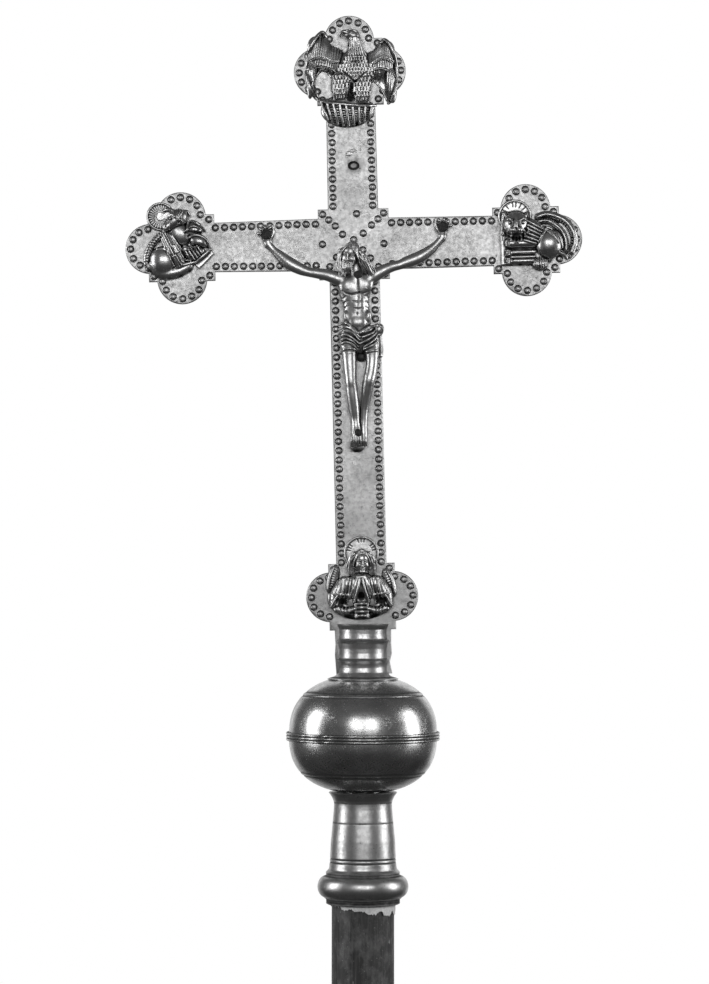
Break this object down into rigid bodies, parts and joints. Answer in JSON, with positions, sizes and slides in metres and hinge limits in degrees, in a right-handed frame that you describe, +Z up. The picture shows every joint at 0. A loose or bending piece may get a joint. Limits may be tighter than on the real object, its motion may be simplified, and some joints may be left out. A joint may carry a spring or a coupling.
{
  "type": "processional cross",
  "caption": "Flat metal cross with trefoil ends, cast reliefs and corpus, on a ringed neck, hollow knop and socket that lifts off a wooden staff.",
  "frame": {"origin": "centre of the cut lower end of the staff stub", "axes": "+Z up along the staff, socket, knop and neck; the cross's front, with the corpus, faces -Y; +X to the viewer's right"},
  "size_m": [0.2649, 0.0892, 0.5812],
  "materials": {
    "turned_metal": "turned and polished, dulled grey patina",
    "knop_metal": "polished, fine scratches, darker tarnish near the rims",
    "plate_metal": "satin, punched pellet border, fine scratches",
    "cast_metal": "cast and chased, dark tarnish in the hollows",
    "figure_metal": "cast, worn bright on the high places",
    "rivet_metal": "hammered",
    "nail_iron": "forged, dark rust skin",
    "staff_wood": "black paint, chipped and worn",
    "packing_paper": "torn and crumpled"
  },
  "bodies": {
    "staff": {"staff": "staff_wood", "staff_packing": "packing_paper"},
    "head": {"socket": "turned_metal", "core_tube": "turned_metal", "knop_lower_bowl": "knop_metal", "knop_upper_bowl": "knop_metal", "knop_girdle": "knop_metal", "neck": "turned_metal", "cross_plate": "plate_metal", "corpus": "figure_metal", "eagle_relief": "cast_metal", "ox_relief": "cast_metal", "lion_relief": "cast_metal", "angel_relief": "cast_metal", "hand_nail_left": "nail_iron", "hand_nail_right": "nail_iron", "foot_nail": "nail_iron", "chest_rivet": "nail_iron", "titulus_rivet": "rivet_metal", "eagle_rivet_left": "rivet_metal", "eagle_rivet_right": "rivet_metal", "ox_rivet_left": "rivet_metal", "ox_rivet_right": "rivet_metal", "lion_rivet_left": "rivet_metal", "lion_rivet_right": "rivet_metal", "angel_rivet_left": "rivet_metal", "angel_rivet_right": "rivet_metal"}
  },
  "joints": [
    {"name": "head_lift", "type": "slide", "parent": "staff", "child": "head", "axis": [0, 0, 1], "range_m": [0, 0.065]}
  ]
}
